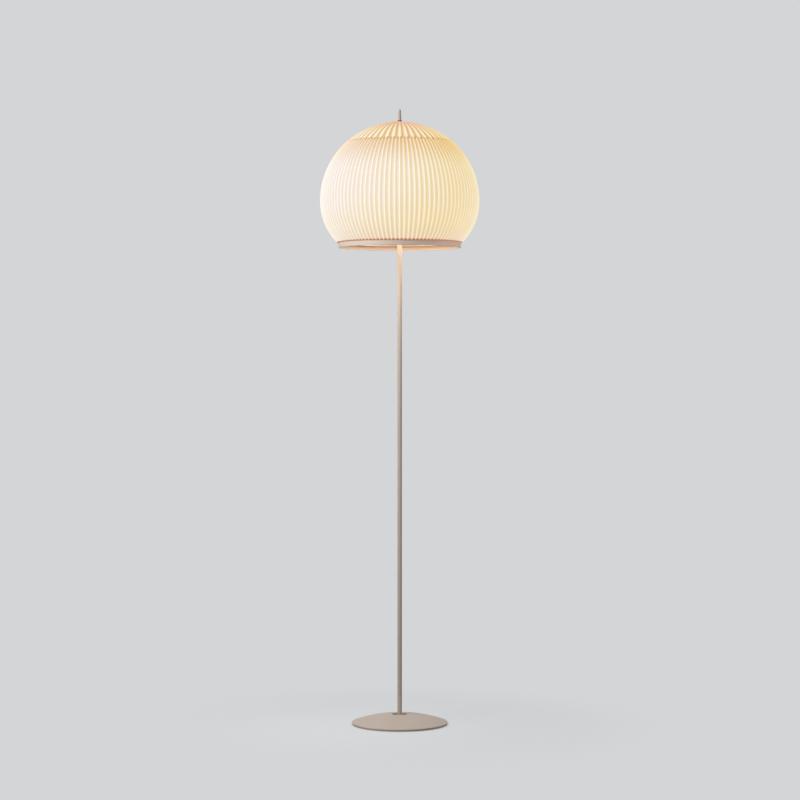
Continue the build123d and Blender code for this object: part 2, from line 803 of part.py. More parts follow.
os.makedirs("parts", exist_ok=True)
for sub_part in sub_parts:
    export_step(sub_part, f"parts/{sub_part.label}.step")
print("widest level", round(equator, 1), "overall height", round(finial_top, 1))
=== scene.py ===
# %% [markdown]
# A floor lamp with a round domed base, one slim stem and a large shade of pleated knit, switched on.
# The exact model of the lamp is already there: every rigid piece, in metres, with the origin on the floor.
# It is loaded first and never moved. What follows gives each piece its real surface, and remakes the soft pieces.

# %% Load the exact model
import json
import math

import bmesh
import bpy
from mathutils import Matrix, Vector


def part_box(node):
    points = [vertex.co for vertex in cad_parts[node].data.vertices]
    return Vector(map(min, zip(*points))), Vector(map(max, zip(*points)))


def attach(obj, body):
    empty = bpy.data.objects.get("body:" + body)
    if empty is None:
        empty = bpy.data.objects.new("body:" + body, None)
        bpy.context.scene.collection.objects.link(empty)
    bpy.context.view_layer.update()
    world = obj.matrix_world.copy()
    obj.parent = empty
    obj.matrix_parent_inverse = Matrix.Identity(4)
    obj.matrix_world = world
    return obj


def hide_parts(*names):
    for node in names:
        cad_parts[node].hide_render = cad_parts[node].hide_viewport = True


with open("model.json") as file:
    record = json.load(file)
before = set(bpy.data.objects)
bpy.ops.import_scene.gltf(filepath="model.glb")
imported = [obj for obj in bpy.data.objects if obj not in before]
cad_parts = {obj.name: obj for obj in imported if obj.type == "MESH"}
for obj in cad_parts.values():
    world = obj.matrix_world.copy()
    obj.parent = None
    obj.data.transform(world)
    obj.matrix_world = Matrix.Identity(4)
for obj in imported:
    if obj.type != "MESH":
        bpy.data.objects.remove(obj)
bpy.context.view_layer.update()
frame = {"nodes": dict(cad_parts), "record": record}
bodies = frame["record"]["behaviour"]["bodies"]
body_of = {node: body for body, nodes in bodies.items() for node in nodes}
slot_of = {part["node"]: part["material_slot"] for part in frame["record"]["subparts"]}

# %% [markdown]
# The picture was taken with a long lens, from a little above the middle of the lamp and looking very slightly
# down. A long lens keeps the stem straight and the shade round, so the camera stands six metres away.

# %% Place the camera
camera_place = (0.0008, -5.972, 0.973)
camera_dip = 1.119  # degrees below the level
lens_length = 102.03  # millimetres, as is the width of the film
film_width = 36.0

camera_data = bpy.data.cameras.new("camera")
camera_data.lens = lens_length
camera_data.sensor_width = film_width
camera = bpy.data.objects.new("camera", camera_data)
camera.location = camera_place
camera.rotation_euler = (math.radians(90 - camera_dip), 0, 0)
bpy.context.scene.collection.objects.link(camera)
bpy.context.scene.camera = camera
bpy.context.scene.view_settings.view_transform = "Standard"
print("lens", lens_length, "mm at", camera_place)

# %% [markdown]
# A finish is a tree of shader nodes, and trees are easier to read as formulas than as a list of links.
# So one class stands for the tree and makes every node, and another wraps a socket and lends it arithmetic:
# `1 - mask` or `wave * 0.3` then adds the Math node that works it out. A colour is written as its red, green and
# blue, and the class adds the fourth number that a colour socket wants.


# %% Write shader maths as expressions
class Value:
    """A number that varies over a surface: one output socket, with the operators that Math nodes stand for."""

    def __init__(self, shader, socket):
        self.shader = shader
        self.socket = socket

    def math(self, operation, *others):
        """A Math node with this value first."""
        operands = dict(enumerate((self, *others)))
        return self.shader.node("ShaderNodeMath", {"operation": operation}, operands)

    def __add__(self, other):
        return self.math("ADD", other)

    def __mul__(self, other):
        return self.math("MULTIPLY", other)

    def __sub__(self, other):
        return self.math("SUBTRACT", other)

    def __rsub__(self, other):
        return self.shader.node("ShaderNodeMath", {"operation": "SUBTRACT"}, {0: other, 1: self})

    __radd__ = __add__
    __rmul__ = __mul__


class Shader:
    """The node tree of a material or of the world, which is emptied first."""

    def __init__(self, owner):
        owner.use_nodes = True
        self.owner = owner
        self.tree = owner.node_tree
        self.tree.nodes.clear()

    def node(self, kind, settings=None, inputs=None, output=0):
        """Adds a node, with its settings first and then the values or links of its sockets."""
        made = self.tree.nodes.new(kind)
        for name, setting in (settings or {}).items():
            setattr(made, name, setting)
        for name, value in (inputs or {}).items():
            socket = made.inputs[name]
            if isinstance(value, Value):
                self.tree.links.new(value.socket, socket)
            else:
                socket.default_value = (*value, 1.0) if socket.type == "RGBA" else value
        return Value(self, made.outputs[output]) if made.outputs else None

    def mix(self, share, first, second):
        """A colour between two colours."""
        return self.node("ShaderNodeMix", {"data_type": "RGBA"}, {0: share, 6: first, 7: second}, output=2)

    def ramp(self, value, low, high):
        """A smooth step from 0 at low to 1 at high."""
        ends = {"Value": value, "From Min": low, "From Max": high}
        return self.node("ShaderNodeMapRange", {"interpolation_type": "SMOOTHSTEP"}, ends)

    def surface(self, inputs):
        """Closes the tree with a Principled shader."""
        principled = self.node("ShaderNodeBsdfPrincipled", {}, inputs)
        self.node("ShaderNodeOutputMaterial", {}, {"Surface": principled})
        return self.owner


# %% [markdown]
# The lamp stands in a pale, evenly lit room. The backdrop and the far floor have one flat colour, which is the
# colour of the picture behind the lamp. Near the base a share of the floor is a real matt surface, so the lamp's
# soft shadow stays on it, and that surface fades into the flat colour before any horizon could show. What the
# floor sends back to the lamp is set apart from how bright it looks, and from below the floor is clear.

# %% Set up the room
backdrop_colour = (0.656, 0.665, 0.680)
floor_colour = (0.90, 0.90, 0.915)
bounce_colour = (0.04, 0.04, 0.04)  # what the floor sends back to the lamp
floor_size = 12.0
floor_gap = 0.0005  # under the pad, so that the two faces never coincide
shadow_reach = (0.16, 0.75)  # metres from the stem where the matt floor starts and ends to fade
shadow_share = 0.46  # of the floor that is matt near the base

floor_shader = Shader(bpy.data.materials.new("floor"))
place = floor_shader.node("ShaderNodeTexCoord", output="Object")
distance = floor_shader.node("ShaderNodeVectorMath", {"operation": "LENGTH"}, {0: place}, output="Value")
bouncing = floor_shader.node("ShaderNodeLightPath", output="Is Diffuse Ray")
flat_share = floor_shader.ramp(distance, *shadow_reach) * shadow_share + (1 - shadow_share)
flat_share = flat_share.math("MAXIMUM", bouncing)
flat_colour = floor_shader.mix(bouncing, backdrop_colour, bounce_colour)
matt = floor_shader.node("ShaderNodeBsdfDiffuse", {}, {"Color": floor_colour})
flat = floor_shader.node("ShaderNodeEmission", {}, {"Color": flat_colour})
seen_from_above = floor_shader.node("ShaderNodeMixShader", {}, {0: flat_share, 1: matt, 2: flat})
clear = floor_shader.node("ShaderNodeBsdfTransparent")
under = floor_shader.node("ShaderNodeNewGeometry", output="Backfacing")
ground = floor_shader.node("ShaderNodeMixShader", {}, {0: under, 1: seen_from_above, 2: clear})
floor_shader.node("ShaderNodeOutputMaterial", {}, {"Surface": ground})


def placed(mesh, name):
    """Turns a working mesh into an object of the scene."""
    data = bpy.data.meshes.new(name)
    mesh.to_mesh(data)
    mesh.free()
    thing = bpy.data.objects.new(name, data)
    bpy.context.scene.collection.objects.link(thing)
    return thing


floor_mesh = bmesh.new()
below_pad = Matrix.Translation((0, 0, -floor_gap))
bmesh.ops.create_grid(floor_mesh, x_segments=1, y_segments=1, size=floor_size / 2, matrix=below_pad)
floor = placed(floor_mesh, "floor")
floor.data.materials.append(floor_shader.owner)
print("floor", floor_size, "m across")

# %% [markdown]
# The world gives the even fill that a white room gives. What it sends to the lamp is set apart from what the
# camera, a reflection or glass sees of it, and that is the flat backdrop colour.

# %% Fill the room with light
fill_strength = 0.38
fill_colour = (0.96, 0.98, 1.0)

world = bpy.data.worlds.new("room")
bpy.context.scene.world = world
room = Shader(world)
straight, mirrored, through = (
    room.node("ShaderNodeLightPath", output=kind)
    for kind in ("Is Camera Ray", "Is Glossy Ray", "Is Transmission Ray")
)
seen = straight.math("MAXIMUM", mirrored).math("MAXIMUM", through)
fill = room.node("ShaderNodeBackground", {}, {"Color": fill_colour, "Strength": fill_strength})
backdrop = room.node("ShaderNodeBackground", {}, {"Color": backdrop_colour})
either = room.node("ShaderNodeMixShader", {}, {0: seen, 1: fill, 2: backdrop})
room.node("ShaderNodeOutputWorld", {}, {"Surface": either})
print("fill", fill_strength)

# %% [markdown]
# The main light is a soft box at the left, a little above the shade. It stands near, so its light grows weaker
# down the stem, as in the picture. A second one with a narrow beam makes up for that on the low base.

# %% Hang the soft boxes
daylight = (0.97, 0.98, 1.0)
open_beam = 180  # degrees


def hang_light(name, place, aim, size, beam, watts, colour):
    """A square light at a place, turned to where it aims, with a beam in degrees."""
    light_data = bpy.data.lights.new(name, "AREA")
    light_data.color = colour
    light_data.size = size
    light_data.spread = math.radians(beam)
    light_data.energy = watts
    light = bpy.data.objects.new(name, light_data)
    light.location = place
    light.rotation_euler = (Vector(aim) - Vector(place)).to_track_quat("-Z", "Y").to_euler()
    bpy.context.scene.collection.objects.link(light)
    print(name, watts, "W")
    return light


hang_light("key", (-1.1, -1.08, 1.85), (0, 0, 1.2), 0.8, open_beam, 21.5, daylight)
hang_light("low", (-0.7, -0.25, 1.3), (-0.05, 0, 0), 0.5, 45, 0.20, daylight)

# %% [markdown]
# The shade itself lights what stands near it: the ring under its bulge, the inside of that ring and the top of the
# stem. The cloth is drawn no brighter than white, which is too weak for that, so four small lights that the camera
# doesn't see lend those pieces its glow. Two beams reach the ring from the right and the left, one sits in the
# mouth, and one is a panel that fills the mouth and shines down. Their watts and colours were set one by one.

# %% Add the glow of the shade
glow_lights = (
    ("right glow", (0.55, -0.18, 1.20), (0.05, -0.10, 1.27), 0.25, 70, 0.180, (1.0, 0.78, 0.72)),
    ("left glow", (-0.60, -0.25, 1.15), (-0.10, -0.08, 1.265), 0.25, 60, 0.060, (0.90, 0.95, 1.0)),
    ("inner glow", (0.02, 0.01, 1.258), (0.07, 0.15, 1.262), 0.05, open_beam, 0.088, (1.0, 0.50, 0.27)),
    ("down glow", (0, 0, 1.285), (0, 0, 0), 0.24, open_beam, 0.44, (1.0, 0.87, 0.72)),
)
for glow_light in glow_lights:
    hang_light(*glow_light).visible_camera = False

# %% [markdown]
# Most rigid pieces are painted, cast or moulded. Close up, all of these have the same two things: a tint that
# drifts a little over a hand's width, and a fine grain, such as the orange peel of powder coat or the pores of a
# casting. One function makes them all, and the numbers say which it is. The spike has a paint of its own,
# smoother than the shell's and darker, and that darker colour is painted shade.


# %% Finishes that are painted, cast or moulded
grain_gloss = 0.10  # how much the roughness changes with the grain
drift_gloss = 0.06  # and with the drifting tint


def coated(name, colour, roughness, grain, depth, drift=0.05, metallic=0.0, coat=0.0):
    """A surface with a drifting tint and a fine grain: grain in lumps a metre, depth in metres."""
    shader = Shader(bpy.data.materials.new(name))
    place = shader.node("ShaderNodeTexCoord", output="Object")
    cloud = shader.node("ShaderNodeTexNoise", {}, {"Vector": place, "Scale": 14.0, "Detail": 3.0})
    lumps = shader.node("ShaderNodeTexNoise", {}, {"Vector": place, "Scale": grain, "Detail": 2.0})
    darker = [channel * (1 - drift) for channel in colour]
    lighter = [channel * (1 + drift) for channel in colour]
    tint = shader.mix(cloud, darker, lighter)
    gloss = lumps * grain_gloss + cloud * drift_gloss + (roughness - (grain_gloss + drift_gloss) / 2)
    bump = shader.node("ShaderNodeBump", {}, {"Distance": depth, "Height": lumps})
    inputs = {"Base Color": tint, "Roughness": gloss, "Metallic": metallic, "Coat Weight": coat, "Normal": bump}
    return shader.surface(inputs)


finishes = {
    "shell_paint": coated("shell_paint", (0.59, 0.488, 0.404), 0.58, 1500.0, 0.00003),
    # the spike's paint is darker than the shell's: painted shade
    "spike_paint": coated("spike_paint", (0.42, 0.315, 0.25), 0.40, 1500.0, 0.00003),
    "frame_paint": coated("frame_paint", (0.80, 0.77, 0.72), 0.45, 1300.0, 0.00003),
    "holder_paint": coated("holder_paint", (0.80, 0.78, 0.74), 0.35, 1500.0, 0.00002),
    "collar_metal": coated("collar_metal", (0.10, 0.07, 0.055), 0.38, 1800.0, 0.00002),
    "felt": coated("felt", (0.12, 0.11, 0.10), 0.92, 2600.0, 0.0004, drift=0.2),
    "cast_iron": coated("cast_iron", (0.10, 0.10, 0.10), 0.72, 700.0, 0.0003, drift=0.15, metallic=0.7),
    "bush_rubber": coated("bush_rubber", (0.05, 0.05, 0.05), 0.70, 2200.0, 0.00003),
    "lead_sheath": coated("lead_sheath", (0.30, 0.28, 0.26), 0.50, 1800.0, 0.00003),
    "ceramic": coated("ceramic", (0.85, 0.84, 0.80), 0.20, 500.0, 0.00002, drift=0.03, coat=0.6),
}
print("finishes", sorted(finishes))

# %% [markdown]
# Turned and pressed metal shows the path of the tool: fine rings round the axis. Noise that is squeezed along
# the axis gives such rings, and they drive the bump and the roughness. The colour stays nearly even.


# %% Finishes of turned metal
def turned_metal(name, colour, roughness, rings):
    """Bare metal with fine rings about the upright axis, in rings a metre."""
    shader = Shader(bpy.data.materials.new(name))
    place = shader.node("ShaderNodeTexCoord", output="Object")
    squeezed = shader.node("ShaderNodeMapping", {}, {"Vector": place, "Scale": (6.0, 6.0, rings)})
    tool = shader.node("ShaderNodeTexNoise", {}, {"Vector": squeezed, "Scale": 1.0, "Detail": 4.0})
    cloud = shader.node("ShaderNodeTexNoise", {}, {"Vector": place, "Scale": 60.0, "Detail": 2.0})
    darker = [channel * 0.9 for channel in colour]
    tint = shader.mix(cloud, darker, colour)
    bump = shader.node("ShaderNodeBump", {}, {"Distance": 0.00004, "Height": tool})
    inputs = {"Base Color": tint, "Roughness": tool * 0.2 + (roughness - 0.1), "Metallic": 1.0, "Normal": bump}
    return shader.surface(inputs)


finishes["steel"] = turned_metal("steel", (0.55, 0.55, 0.54), 0.34, 2500.0)
finishes["cap_metal"] = turned_metal("cap_metal", (0.75, 0.74, 0.72), 0.30, 1400.0)
print("finishes", len(finishes))

# %% [markdown]
# The lamps are opal tubes that glow. Such a tube is brightest in its middle and warmer and dimmer at the neck,
# where its driver sits, so the glow follows the height above the neck.

# %% The glowing opal of the lamps
globe_low, globe_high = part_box("left_lamp_globe")
dim_height = globe_low.z + 0.004
bright_height = globe_low.z + 0.035
neck_glow = (0.42, 0.24, 0.10)
tube_glow = (1.0, 0.80, 0.52)

opal = Shader(bpy.data.materials.new("opal"))
place = opal.node("ShaderNodeTexCoord", output="Object")
height = opal.node("ShaderNodeSeparateXYZ", {}, {"Vector": place}, output="Z")
above_neck = opal.ramp(height, dim_height, bright_height)
haze = opal.node("ShaderNodeTexNoise", {}, {"Vector": place, "Scale": 90.0})
opal_inputs = {
    "Base Color": (0.86, 0.83, 0.78),
    "Roughness": haze * 0.1 + 0.25,
    "Emission Color": opal.mix(above_neck, neck_glow, tube_glow),
    "Emission Strength": 3.0,
}
finishes["opal"] = opal.surface(opal_inputs)
print("lamp", round((globe_high.z - globe_low.z) * 1000), "mm long")

# %% [markdown]
# The light that the tubes throw on the arms, the cage and the inside of the shade comes from a small round light
# in the middle of each. A glowing mesh alone would do the same with far more noise. The tubes cast no shadow, or
# they would keep that light in.

# %% The light in each lamp
lamp_watts = 0.8
lamp_colour = (1.0, 0.86, 0.70)
lamp_light_radius = 0.035
for side in ("left", "right"):
    box_low, box_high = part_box(f"{side}_lamp_globe")
    lamp_data = bpy.data.lights.new(f"{side} lamp", "POINT")
    lamp_data.energy = lamp_watts
    lamp_data.color = lamp_colour
    lamp_data.shadow_soft_size = lamp_light_radius
    lamp = bpy.data.objects.new(f"{side} lamp", lamp_data)
    lamp.location = (box_low + box_high) / 2
    bpy.context.scene.collection.objects.link(lamp)
    print(lamp.name, "at", [round(number, 3) for number in lamp.location])

# %% [markdown]
# Every rigid piece keeps its exact mesh, or a remade one of the same shape, and takes the finish of its slot.

# %% Paint the exact pieces
for node, exact in frame["nodes"].items():
    if slot_of[node] in finishes:
        for material_slot in exact.material_slots:
            material_slot.material = finishes[slot_of[node]]
print("painted", sum(slot in finishes for slot in slot_of.values()), "of", len(slot_of))

# %% [markdown]
# A finished piece rides on the body that carries it, stands for the exact nodes it replaces, and shades smoothly
# but for its true corners. Faces that meet at more than a set angle keep a sharp edge between them.


# %% Turn a working mesh into a finished piece
def finish(mesh, name, nodes, sharp=38.0, look=None):
    """Makes a piece of a working mesh, on the body and with the finish of the exact nodes that it replaces."""
    for face in mesh.faces:
        face.smooth = True
    for edge in mesh.edges:
        edge.smooth = len(edge.link_faces) != 2 or edge.calc_face_angle() < math.radians(sharp)
    piece = placed(mesh, name)
    slot_name = slot_of[nodes[0]]
    piece.data.materials.append(finishes[look or slot_name])
    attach(piece, body_of[nodes[0]])
    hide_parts(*nodes)
    print(name, len(piece.data.polygons), "faces")
    return piece


# %% [markdown]
# Spun, turned and rolled pieces are solids of revolution. Each starts as its half outline, drawn as points at a
# radius and a height, which is spun a full turn. The corners that a real edge rounds are bevelled afterwards.


# %% Turn a solid from its half outline
def circular_edges(mesh, radius, height):
    """The edges of the circle at a radius and a height."""
    near = 0.00002
    ring = []
    for edge in mesh.edges:
        offsets = [abs(vert.co.xy.length - radius) + abs(vert.co.z - height) for vert in edge.verts]
        if max(offsets) < near:
            ring.append(edge)
    return ring


def turned(outline, easings, steps=96, middle=0.0):
    """A working mesh of a closed outline spun about the upright axis, with corners eased by a radius each."""
    mesh = bmesh.new()
    verts = [mesh.verts.new((radius, 0, height)) for radius, height in outline]
    edges = [mesh.edges.new(pair) for pair in zip(verts, verts[1:] + verts[:1])]
    turn = {"cent": (0, 0, 0), "axis": (0, 0, 1), "angle": math.tau, "steps": steps}
    bmesh.ops.spin(mesh, geom=verts + edges, use_merge=True, **turn)
    bmesh.ops.remove_doubles(mesh, verts=mesh.verts, dist=0.000001)
    bmesh.ops.recalc_face_normals(mesh, faces=mesh.faces)
    for (radius, height), easing in easings.items():
        ring = circular_edges(mesh, radius, height)
        rounding = {"affect": "EDGES", "segments": 4, "profile": 0.5, "material": -1}
        bmesh.ops.bevel(mesh, geom=ring, offset=easing, clamp_overlap=True, **rounding)
    bmesh.ops.translate(mesh, verts=mesh.verts, vec=(middle, 0, 0))
    return mesh


# %% [markdown]
# The base is a spun sheet shell: a very flat dome whose rim turns down and leans in a little, and a round well in
# the middle where the stem stands. It could be a squashed sphere, but then the rim would come out sharp and the
# dome too steep, so its section is drawn: an arc of the dome's true radius, the wall's thickness and the well.

# %% The base
cover_low, cover_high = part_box("base_cover")
base_radius = cover_high.x
cover_wall = 0.0015
rim_height = 0.006
rim_tuck = 0.0012  # how far the rim leans in under the dome
rim_easing = 0.0016
dome_rise = 0.022
well_radius = 0.0203
well_depth = 0.009
well_bore = 0.006
lip_easing = 0.0011
dome_radius = (base_radius**2 + dome_rise**2) / (2 * dome_rise)
dome_top = rim_height + dome_rise
dome_centre = dome_top - dome_radius
well_floor = dome_top - well_depth


def dome_arc(inner, outer, inset, steps):
    """Points along the dome from an inner to an outer radius, or along a surface that lies inset under it."""
    radius = dome_radius - inset
    start, end = (math.acos(reach / radius) for reach in (inner, outer))
    angles = [start + (end - start) * step / steps for step in range(steps + 1)]
    return [(radius * math.cos(angle), dome_centre + radius * math.sin(angle)) for angle in angles]


dome_points = dome_arc(well_radius, base_radius, 0, 24)
under_points = dome_arc(base_radius - cover_wall, well_radius + cover_wall, cover_wall, 12)
cover_outline = [
    *dome_points,
    (base_radius - rim_tuck, cover_low.z),
    (base_radius - cover_wall, cover_low.z),
    *under_points,
    (well_radius + cover_wall, well_floor - cover_wall),
    (well_bore, well_floor - cover_wall),
    (well_bore, well_floor),
    (well_radius, well_floor),
]
cover_easings = {dome_points[-1]: rim_easing, dome_points[0]: lip_easing}
cover = finish(turned(cover_outline, cover_easings, steps=160), "base_shell", ["base_cover"])

# %% [markdown]
# The rim has a small arched notch at the back, where the inner lead ends. A cutter of the notch's shape is taken
# away from the finished shell with a Boolean modifier, and the result is kept as the shell's own mesh.

# %% The notch in the rim
notch_radius = 0.0035
notch_height = 0.0048
cutter_length = 0.03

cutter_mesh = bmesh.new()
round_bar = {"radius1": notch_radius, "radius2": notch_radius, "depth": cutter_length}
bmesh.ops.create_cone(cutter_mesh, cap_ends=True, segments=32, **round_bar)
lie_back = Matrix.Rotation(math.pi / 2, 3, "X")
bmesh.ops.rotate(cutter_mesh, verts=cutter_mesh.verts, cent=(0, 0, 0), matrix=lie_back)
to_rim = (0, base_radius, notch_height - notch_radius)
bmesh.ops.translate(cutter_mesh, verts=cutter_mesh.verts, vec=to_rim)
cutter = placed(cutter_mesh, "notch cutter")

cut = cover.modifiers.new("notch", "BOOLEAN")
cut.operation = "DIFFERENCE"
cut.solver = "EXACT"
cut.object = cutter
bpy.context.view_layer.update()
shown = cover.evaluated_get(bpy.context.evaluated_depsgraph_get())
notched = bpy.data.meshes.new_from_object(shown)
cover.modifiers.clear()
cover.data = notched
bpy.data.objects.remove(cutter)
print("base shell", len(notched.polygons), "faces with its notch")

# %% [markdown]
# The stem is a plain drawn tube. It is turned from its section, and its ends are eased as a deburring tool leaves
# them.

# %% The stem
stem_low, stem_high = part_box("stem_tube")
stem_radius = stem_high.x
stem_bore = stem_radius - 0.00125
stem_corners = [(stem_radius, stem_low.z), (stem_radius, stem_high.z)]
stem_outline = [*stem_corners, (stem_bore, stem_high.z), (stem_bore, stem_low.z)]
finish(turned(stem_outline, dict.fromkeys(stem_corners, 0.0003), steps=64), "stem", ["stem_tube"])

# %% [markdown]
# The ring round the mouth of the shade is a rolled band. Its upper edge is folded inwards to a narrow shelf, which
# the wires of the cage and the hem of the cloth stand on.

# %% The ring
ring_low, ring_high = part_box("lower_ring")
ring_radius = ring_high.x
ring_wall = 0.002
shelf_radius = 0.1501
ring_corners = [
    (ring_radius, ring_high.z),
    (ring_radius, ring_low.z),
    (ring_radius - ring_wall, ring_low.z),
    (ring_radius - ring_wall, ring_high.z - ring_wall),
    (shelf_radius, ring_high.z - ring_wall),
    (shelf_radius, ring_high.z),
]
finish(turned(ring_corners, dict.fromkeys(ring_corners, 0.0005), steps=200), "ring", ["lower_ring"])

# %% [markdown]
# On top sits a slender spike with a waist. Its side is one long curve from a wide foot through the waist to the
# tip, and the tip is rounded over like the end of a turned pin. Three points steer the curve, and the formula
# blends them: the foot and the tip are on it, and the waist pulls it in.

# %% The spike
finial_low, finial_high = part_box("finial")
finial_tip = 0.003
finial_waist = 0.0036
finial_bore = 0.00305
finial_length = finial_high.z - finial_low.z
bore_top = finial_low.z + 0.010
side_steps = 12
side_points = []
for step in range(side_steps + 1):
    share = step / side_steps
    reach = (1 - share) ** 2 * finial_high.x + 2 * share * (1 - share) * finial_waist + share**2 * finial_tip
    side_points.append((reach, finial_low.z + finial_length * share))
bore_points = [(0, bore_top), (finial_bore, bore_top), (finial_bore, finial_low.z)]
finial_outline = [*side_points, (0, finial_high.z), *bore_points]
finial_easings = {side_points[-1]: 0.0023, side_points[0]: 0.0003}
spike_mesh = turned(finial_outline, finial_easings, steps=48)
finish(spike_mesh, "spike", ["finial"], sharp=50.0, look="spike_paint")

# %% [markdown]
# Under the spike lies a dark loose collar, a small washer with rounded edges that presses on the cloth.

# %% The collar
collar_low, collar_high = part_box("finial_collar")
collar_corners = [(collar_high.x, collar_low.z), (collar_high.x, collar_high.z)]
collar_outline = [*collar_corners, (finial_bore, collar_high.z), (finial_bore, collar_low.z)]
collar_mesh = turned(collar_outline, dict.fromkeys(collar_corners, 0.0006), steps=48)
finish(collar_mesh, "spike_collar", ["finial_collar"])

# %% [markdown]
# Inside the shade two opal tubes show from below, through the mouth. A tube is blown glass: a neck that flares to
# a straight body with a domed end. So its outline is a few corners and a quarter of an ellipse.

# %% The outline of a tube
neck_radius = 0.0145
neck_easing = 0.0008
flare_height = 0.026
flare_easing = 0.006
dome_height = 0.012
globe_radius = (globe_high.x - globe_low.x) / 2
dome_start = globe_high.z - dome_height
end_steps = 8
end_points = []
for step in range(end_steps):
    angle = math.radians(90 * step / end_steps)
    end_points.append((globe_radius * math.cos(angle), dome_start + dome_height * math.sin(angle)))
neck_corner = (neck_radius, globe_low.z)
flare_corner = (globe_radius, globe_low.z + flare_height)
globe_outline = [(0, globe_low.z), neck_corner, flare_corner, *end_points, (0, globe_high.z)]
globe_easings = {flare_corner: flare_easing, neck_corner: neck_easing}
print("tube", round(globe_radius * 2000), "mm wide")

# %% [markdown]
# Each tube stands in a painted cup of sheet metal, with a slanted shoulder and a hole for the threaded arm. One
# outline serves the left and the right cup, and only the place of its axis differs.

# %% The cups and the tubes
cup_low, cup_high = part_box("left_holder")
cup_radius = (cup_high.x - cup_low.x) / 2
cup_wall = 0.0015
cup_shoulder = 0.006
cup_bore = 0.00505
cup_floor = 0.0025
shoulder_easing = 0.003
mouth_easing = 0.0006
cup_outline = [
    (cup_bore, cup_low.z),
    (cup_radius - cup_shoulder, cup_low.z),
    (cup_radius, cup_low.z + cup_shoulder),
    (cup_radius, cup_high.z),
    (cup_radius - cup_wall, cup_high.z),
    (cup_radius - cup_wall, cup_low.z + cup_floor + cup_shoulder),
    (cup_radius - cup_wall - cup_shoulder, cup_low.z + cup_floor),
    (cup_bore, cup_low.z + cup_floor),
]
cup_easings = dict.fromkeys(cup_outline[1:3], shoulder_easing) | dict.fromkeys(cup_outline[3:5], mouth_easing)
for side in ("left", "right"):
    box_low, box_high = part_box(f"{side}_lamp_globe")
    middle = (box_low.x + box_high.x) / 2
    globe = turned(globe_outline, globe_easings, steps=64, middle=middle)
    tube = finish(globe, f"{side}_opal_tube", [f"{side}_lamp_globe"], sharp=60.0)
    tube.visible_shadow = False
    cup = turned(cup_outline, cup_easings, steps=64, middle=middle)
    finish(cup, f"{side}_cup", [f"{side}_holder"])

# %% [markdown]
# The pieces that stay as they were drawn still have flat facets on their round faces. A copy of each is merged
# into one skin and its facets shade into each other, so that a bent tube looks bent and not filed.

# %% Smooth the frame and the arms
formed_nodes = [
    "foot_hub", "cluster_body", "shade_rod", "rod_nut", "shade_hub", "upper_hoop", "spider_arms", "cage_ribs",
    "left_arm", "right_arm", "left_arm_nuts", "right_arm_nuts", "left_socket", "right_socket",
    "left_lamp_cap", "right_lamp_cap",
]
for node in formed_nodes:
    skin = bmesh.new()
    skin.from_mesh(frame["nodes"][node].data)
    bmesh.ops.remove_doubles(skin, verts=skin.verts, dist=0.000002)
    finish(skin, f"{node}_formed", [node], sharp=30.0)

# %% [markdown]
# The shade is knit, pressed into a hundred upright ribs, and drawn down over a wire cage. A simulation would lose
# these pressed ribs, so the cloth is modelled: one strip of a smooth shell is spun from its profile, every point
# of it sinks by what the pleats say, and the strip is then repeated all the way round. The smooth profile has two
# arcs that meet at the equator, a wide one up to the seam and a tighter one down to the hem.

# %% The profile of the shade
shade_low, shade_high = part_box("knit_body")
shade_radius = shade_high.x
seam_radius = 0.137
shoulder_radius = 0.154
equator = shade_high.z - math.sqrt(shade_radius**2 - seam_radius**2)
hem_drop = equator - shade_low.z
shoulder_middle = shade_radius - shoulder_radius
top_angle = math.acos(seam_radius / shade_radius)
foot_angle = math.asin(hem_drop / shoulder_radius)
upper_length = shade_radius * top_angle
meridian_length = upper_length + shoulder_radius * foot_angle
print("equator", round(equator, 4), "meridian", round(meridian_length, 4))


def along_shade(point):
    """How far a point of the smooth shell lies below the seam along the cloth, and its direction outwards."""
    reach = point.xy.length
    middle = 0.0 if point.z > equator else shoulder_middle
    rise = math.atan2(point.z - equator, reach - middle)
    below = (top_angle - rise) * shade_radius if rise > 0 else upper_length - rise * shoulder_radius
    turn = math.atan2(point.y, point.x)
    outwards = Vector((math.cos(turn) * math.cos(rise), math.sin(turn) * math.cos(rise), math.sin(rise)))
    return below, outwards


# %% [markdown]
# Both cloths, the body and the cap, are made in the same three steps, so each step is a function. A point swings
# through the arcs and draws the profile, and the profile is spun by the width of one strip. The finished strip is
# repeated about the axis and sewn to its neighbours. Last comes a map for the stitches: it runs once round the
# shade and once along the cloth, and each face takes the turn nearest to its own, so nothing jumps at the join.


# %% Spin, repeat and map a cloth
def spun_strip(path, swings, angle, columns):
    """A strip of a smooth open shell: a path, carried on through arcs from its end, and spun by an angle."""
    mesh = bmesh.new()
    points = [mesh.verts.new(point) for point in path]
    for pair in zip(points, points[1:]):
        mesh.edges.new(pair)
    tip = points[-1]
    for middle, swing_angle, steps in swings:
        swing = {"cent": (middle, 0, equator), "axis": (0, 1, 0), "angle": -swing_angle, "steps": steps}
        made = bmesh.ops.spin(mesh, geom=[tip], **swing)
        tip = [item for item in made["geom_last"] if isinstance(item, bmesh.types.BMVert)][0]
    profile = list(mesh.verts) + list(mesh.edges)
    bmesh.ops.spin(mesh, geom=profile, cent=(0, 0, 0), axis=(0, 0, 1), angle=angle, steps=columns)
    return mesh


